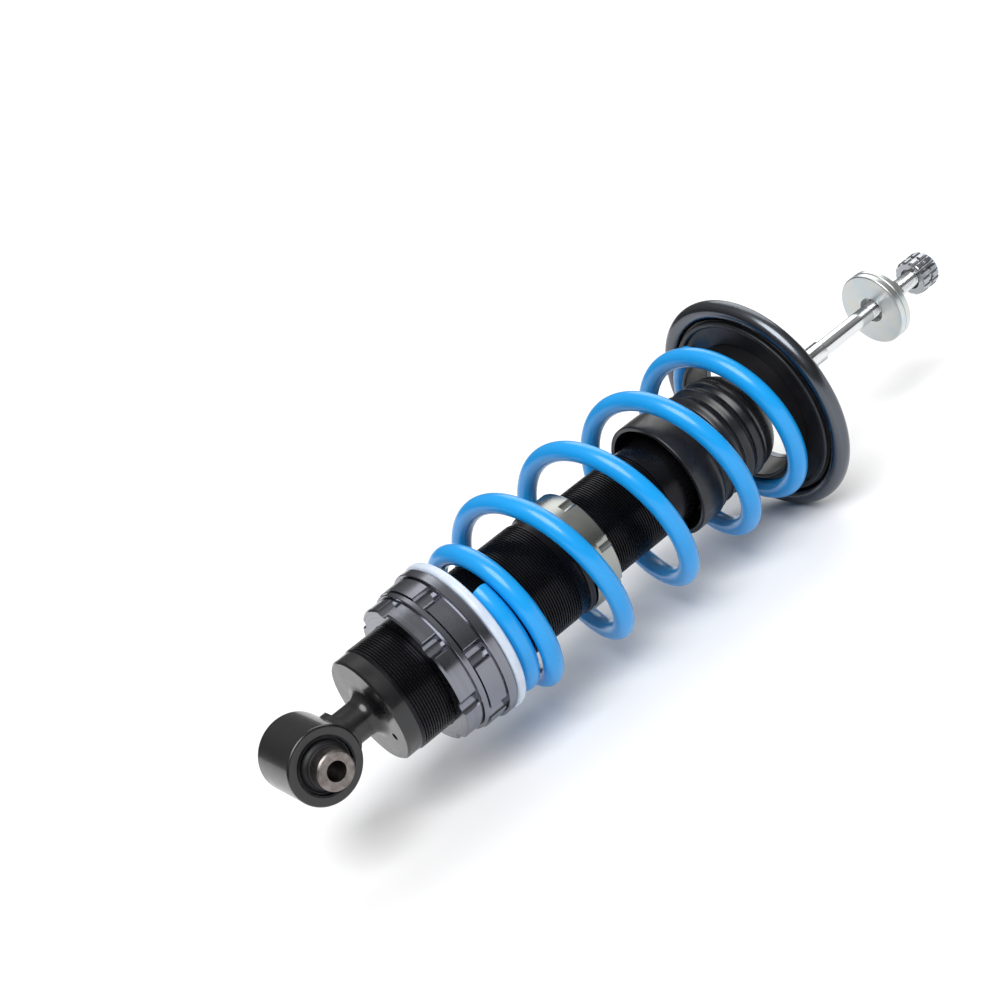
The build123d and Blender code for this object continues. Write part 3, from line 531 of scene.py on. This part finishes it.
class STRUT_OT_spring(bpy.types.Operator):
    """Wind the coil spring, and finish the ring that it stands on"""

    bl_idname = "strut.spring"
    bl_label = "Coil Spring"

    def execute(self, context):
        """Carry a circle along the coil's centre line.

        The travel is the closed pitch times the closed share of the turns plus the open pitch
        times the open share; the radius grows and shrinks by eased steps of the turn.
        """
        sizes = context.scene.strut_spring
        wire = sizes.wire / MM / 2
        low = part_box("spring_isolator")[1].x / MM + 0.02
        turns, closed_pitch, length = 5.78, 11.0, 215.0
        open_turn, open_ramp, close_turn, close_ramp = 1.05, 0.55, 4.04, 2.07
        low_radius, widening, narrowing = 36.8, 10.8, 2.2
        widen_turn, widen_turns, narrow_turn, narrow_turns = 0.6, 1.3, 4.9, 0.85
        start_angle = math.radians(135)
        count = 500
        turn = np.linspace(0, turns, count)
        share = eased((turn - open_turn) / open_ramp) - eased((turn - close_turn) / close_ramp)
        opened = np.concatenate([[0], np.cumsum((share[1:] + share[:-1]) / 2 * np.diff(turn))])
        open_pitch = (length - 2 * wire - closed_pitch * (turns - opened[-1])) / opened[-1]
        place = low + wire + closed_pitch * (turn - opened) + open_pitch * opened
        radius = low_radius + widening * eased((turn - widen_turn) / widen_turns)
        radius = radius - narrowing * eased((turn - narrow_turn) / narrow_turns)
        angle = start_angle + 2 * math.pi * turn
        line = np.stack([place, radius * np.cos(angle), radius * np.sin(angle)], axis=1)
        run = np.gradient(line, axis=0)
        run /= np.linalg.norm(run, axis=1)[:, None]
        out = np.stack([0 * angle, np.cos(angle), np.sin(angle)], axis=1)
        out -= run * np.sum(out * run, axis=1)[:, None]
        out /= np.linalg.norm(out, axis=1)[:, None]
        side = np.cross(run, out)
        around = 40
        spin = np.linspace(0, 2 * math.pi, around, endpoint=False)
        spread = out[:, None] * np.cos(spin)[None, :, None]
        spread = spread + side[:, None] * np.sin(spin)[None, :, None]
        rings = line[:, None] + wire * spread
        end_round, end_inset = 0.5, 0.10
        ends = []
        for index, way in ((0, 1), (-1, -1)):
            ends.append(rings[index] + (line[index] - rings[index]) * end_inset)
            rings[index] += way * run[index] * end_round
        rings = np.concatenate([ends[0][None], rings, ends[1][None]])
        points = np.concatenate([rings.reshape(-1, 3), line[:1], line[-1:]]) * MM
        faces = grid_faces(len(rings), around, False, True)[:, ::-1].tolist()
        first, last = len(points) - 2, len(points) - 1
        edge = np.arange(around)
        beside = (edge + 1) % around
        top = (len(rings) - 1) * around
        faces += np.stack([edge, beside, np.full(around, first)], 1)[:, ::-1].tolist()
        faces += np.stack([top + beside, top + edge, np.full(around, last)], 1)[:, ::-1].tolist()
        coil = put_mesh("coil", points.tolist(), faces)
        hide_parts("coil_spring")
        coil.data.materials.append(spring_powder_coat(tuple(sizes.colour)))
        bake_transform(coil)
        pale = moulded_plastic(
            "pale_acetal", linear("#D3DDEA"), linear("#C2CEDE"), 0.32, 0.15
        )
        coat_nodes(pale, "spring_isolator")
        return {"FINISHED"}


class STRUT_OT_boot(bpy.types.Operator):
    """Blow the dust boot's bellows, and finish the bump stop in it"""

    bl_idname = "strut.boot"
    bl_label = "Dust Boot"

    def execute(self, context):
        """Turn the boot's section.

        Each ridge is the crest's height over the waist times a raised cosine of the place over
        the pitch, and the crests fall a little from one to the next.
        """
        bellows_start, bellows_end, first_crest, pitch = 262.5, 296.5, 267.2, 8.2
        crest_radius, crest_fall, waist = 32.0, 0.33, 29.5
        wall, dome_length, dome_top = 1.9, 15.5, 10.5
        place = np.linspace(bellows_start, bellows_end, 120)
        wave = 0.5 + 0.5 * np.cos(2 * math.pi * (place - first_crest) / pitch)
        crest = crest_radius - crest_fall * (place - first_crest) / pitch
        bellows = waist + (crest - waist) * wave**0.75
        cuff = rounded(
            [(240.0, 33.0, 0), (240.0, 34.5, 1.0), (257.0, 34.5, 3.2), (259.4, 32.0, 0.8),
             (260.4, 33.2, 0.9), (262.2, 31.0, 0.8)]
        )[1:]
        dome_angle = np.linspace(0, math.pi / 2, 24)[1:]
        dome = np.stack(
            [bellows_end + dome_length * np.sin(dome_angle),
             dome_top + (waist - dome_top) * np.cos(dome_angle)], axis=1
        )
        outside = np.concatenate([cuff, np.stack([place, bellows], 1), dome])
        neck = np.array([(313.4, 10.0), (314.0, 9.2), (314.0, 6.3), (310.0, 6.3)])
        inside = np.stack([place[::-1] - 0.4, bellows[::-1] - wall], 1)
        inner_dome = np.array([(308.0, 14.0), (304.0, 22.0), (299.0, 26.4)])
        lip = np.array([(260.0, 30.6), (257.0, 31.9), (241.0, 31.5), (240.2, 31.9), (240.0, 33.0)])
        section = np.concatenate([outside, neck, inner_dome, inside, lip])
        boot = turned("boot_bellows", section, 128)
        rubber = black_rubber("boot_rubber", 0.32, 2.4)
        finish_piece(boot, rubber, "rod", ["dust_boot"])
        foam = moulded_plastic("bump_stop_foam", linear("#C9AE6A"), linear("#A98F52"), 0.7, 0.0)
        coat_nodes(foam, "bump_stop")
        return {"FINISHED"}


class STRUT_OT_seat(bpy.types.Operator):
    """Finish the upper seat, its pad and its guide"""

    bl_idname = "strut.seat"
    bl_label = "Upper Seat"

    def execute(self, context):
        steel = anodised("gunmetal_seat_coat", linear("#55585E"), linear("#666A70"), 0.24)
        coat_nodes(steel, "upper_seat")
        coat_nodes(black_rubber("seat_pad_rubber", 0.42), "seat_pad")
        black = moulded_plastic("black_nylon", linear("#141417"), linear("#0E0E10"), 0.35, 0.0)
        coat_nodes(black, "seat_guide")
        return {"FINISHED"}


class STRUT_OT_stud(bpy.types.Operator):
    """Cut the rod's stud thread, and finish the washers, nut and knob"""

    bl_idname = "strut.stud"
    bl_label = "Rod and Stud"

    def execute(self, context):
        sizes = context.scene.strut_threads
        pitch, depth = sizes.stud_pitch / MM, sizes.stud_depth / MM
        thread_start, thread_end = 418.0, 462.6
        tail_start, shoulder, step, end = 198.0, 219.2, 376.5, 464.0
        bore, tail, rod_radius, stud = 1.6, 4.0, 6.25, 5.0
        rows = int((thread_end - thread_start) / pitch * 20)
        section = [(tail_start, bore), (tail_start, tail), (shoulder, tail), (shoulder, rod_radius)]
        section += [(375.3, rod_radius), (step, 5.3), (376.6, stud), (thread_start - 1, stud)]
        section += [(place, stud) for place in np.linspace(thread_start, thread_end, rows)]
        section += [(463.2, 4.6), (end, 4.0), (end, bore)]
        lift = thread_lift(thread_start, thread_end, pitch, depth, pitch)
        rod = turned("rod_and_stud", section, 96, lift=lift, crease=50)
        finish_piece(rod, chrome(), "rod", ["piston_rod"])
        zinc = zinc_plate()
        coat_nodes(zinc, "upper_washer", "lower_washer", "flange_nut")
        dark = anodised("dark_knob_anodise", linear("#96999E"), linear("#B4B7BB"), 0.20)
        coat_nodes(dark, "adjuster_knob")
        blue = moulded_plastic("blue_abs_cap", linear("#1296EE"), linear("#0E86D8"), 0.22, 0.0)
        coat_nodes(blue, "knob_cap")
        steel = machined_steel("blackened_steel", linear("#2C2C2E"), linear("#3E3E40"), 0.35)
        coat_nodes(steel, "knob_set_screw", "adjuster_rod")
        return {"FINISHED"}


class STRUT_OT_insides(bpy.types.Operator):
    """Finish the damper's inner parts"""

    bl_idname = "strut.insides"
    bl_label = "Damper Insides"

    def execute(self, context):
        turned_alloy = anodised("turned_alloy", linear("#B4B6B8"), linear("#CDCFD0"), 0.25)
        coat_nodes(turned_alloy, "gland", "floating_piston", "piston")
        steel = machined_steel("ground_steel", linear("#8A8B8D"), linear("#A5A6A8"), 0.28)
        coat_nodes(steel, "base_plug", "gas_valve", "retaining_ring", "piston_nut")
        coat_nodes(steel, "compression_shims", "rebound_shims")
        rubber = black_rubber("seal_rubber", 0.45)
        coat_nodes(rubber, "gland_o_ring", "rod_seal", "rod_wiper", "floating_piston_ring")
        coat_nodes(rubber, "rebound_stop")
        band = moulded_plastic("bronze_ptfe", linear("#7A5A38"), linear("#69492B"), 0.5, 0.0)
        coat_nodes(band, "piston_band")
        return {"FINISHED"}


class STRUT_OT_stage(bpy.types.Operator):
    """Set the floor, lights and camera"""

    bl_idname = "strut.stage"
    bl_label = "Stage"

    def execute(self, context):
        sizes = context.scene.strut_stage
        scene = context.scene
        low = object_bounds()[0]
        across = np.array([-FLOOR_REACH, FLOOR_REACH])
        grid = np.stack(np.meshgrid(across, across, indexing="ij"), -1).reshape(-1, 2)
        points = np.column_stack([grid, np.full(4, low.z - 0.0005)])
        floor = put_mesh("floor", points.tolist(), [(0, 2, 3, 1)])
        material, tree, shader, place = new_material("painted_board", Roughness=0.6)
        shader.inputs["Base Color"].default_value = (*sizes.floor, 1)
        floor.data.materials.append(material)
        floor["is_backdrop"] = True
        world = bpy.data.worlds.new("studio")
        world.use_nodes = True
        tree = world.node_tree
        ray = add_node(tree, "ShaderNodeLightPath").outputs["Is Camera Ray"]
        facing = add_node(tree, "ShaderNodeTexCoord").outputs["Generated"]
        height = add_node(tree, "ShaderNodeSeparateXYZ", links={"Vector": facing}).outputs["Z"]
        settings = {"To Min": sizes.fill * 0.35, "To Max": sizes.fill * 3.2}
        glow = add_node(tree, "ShaderNodeMapRange", settings, {"Value": height})
        links = {"Value": ray, "To Min": glow.outputs["Result"]}
        power = add_node(tree, "ShaderNodeMapRange", {"To Max": 1.2}, links)
        tree.links.new(power.outputs["Result"], tree.nodes["Background"].inputs["Strength"])
        tree.nodes["Background"].inputs["Color"].default_value = (1, 1, 1, 1)
        scene.world = world
        suns = (
            ("key_sun", (-0.35, -0.55, 1.0), 44.0, sizes.key),
            ("back_sun", (0.9, 0.5, 0.8), 50.0, sizes.key * 0.4),
        )
        for name, where, spread, power in suns:
            light = bpy.data.lights.new(name, "SUN")
            light.angle = math.radians(spread)
            light.energy = power
            lamp = bpy.data.objects.new(name, light)
            lamp.location = Vector(where)
            lamp.rotation_euler = (-Vector(where)).to_track_quat("-Z", "Y").to_euler()
            scene.collection.objects.link(lamp)
        view = bpy.data.cameras.new("camera")
        view.lens = sizes.lens
        view.sensor_width = 36.0
        view.clip_start = 0.01
        camera = bpy.data.objects.new("camera", view)
        camera.location = (-0.17389, -0.68701, 0.32114)
        camera.rotation_euler = Euler([math.radians(a) for a in (67.7312, 26.3425, -35.7249)])
        scene.collection.objects.link(camera)
        scene.camera = camera
        scene.view_settings.view_transform = "Standard"
        return {"FINISHED"}


class STRUT_PT_panel(bpy.types.Panel):
    """Lists the strut's pieces in the sidebar"""

    bl_idname = "STRUT_PT_panel"
    bl_label = "Coilover Strut"
    bl_space_type = "VIEW_3D"
    bl_region_type = "UI"
    bl_category = "Strut"

    def draw(self, context):
        layout = self.layout
        for settings in (
            context.scene.strut_threads, context.scene.strut_spring, context.scene.strut_stage,
        ):
            for key in settings.__annotations__:
                layout.prop(settings, key)
        for operator in OPERATORS:
            layout.operator(operator.bl_idname)


OPERATORS = (
    STRUT_OT_sleeve,
    STRUT_OT_eye,
    STRUT_OT_collars,
    STRUT_OT_spring,
    STRUT_OT_boot,
    STRUT_OT_seat,
    STRUT_OT_stud,
    STRUT_OT_insides,
    STRUT_OT_stage,
)
CLASSES = (StrutThreads, StrutSpring, StrutStage, *OPERATORS, STRUT_PT_panel)


def register():
    """Register the classes and hang the settings on the scene."""
    for kind in CLASSES:
        bpy.utils.register_class(kind)
    bpy.types.Scene.strut_threads = PointerProperty(type=StrutThreads)
    bpy.types.Scene.strut_spring = PointerProperty(type=StrutSpring)
    bpy.types.Scene.strut_stage = PointerProperty(type=StrutStage)


def unregister():
    """Take the settings and classes away again."""
    del bpy.types.Scene.strut_stage
    del bpy.types.Scene.strut_spring
    del bpy.types.Scene.strut_threads
    for kind in reversed(CLASSES):
        bpy.utils.unregister_class(kind)


def main():
    """Build every piece and the stage."""
    register()
    bpy.ops.strut.sleeve()
    bpy.ops.strut.eye()
    bpy.ops.strut.collars()
    bpy.ops.strut.spring()
    bpy.ops.strut.boot()
    bpy.ops.strut.seat()
    bpy.ops.strut.stud()
    bpy.ops.strut.insides()
    bpy.ops.strut.stage()


if __name__ == "__main__":
    main()
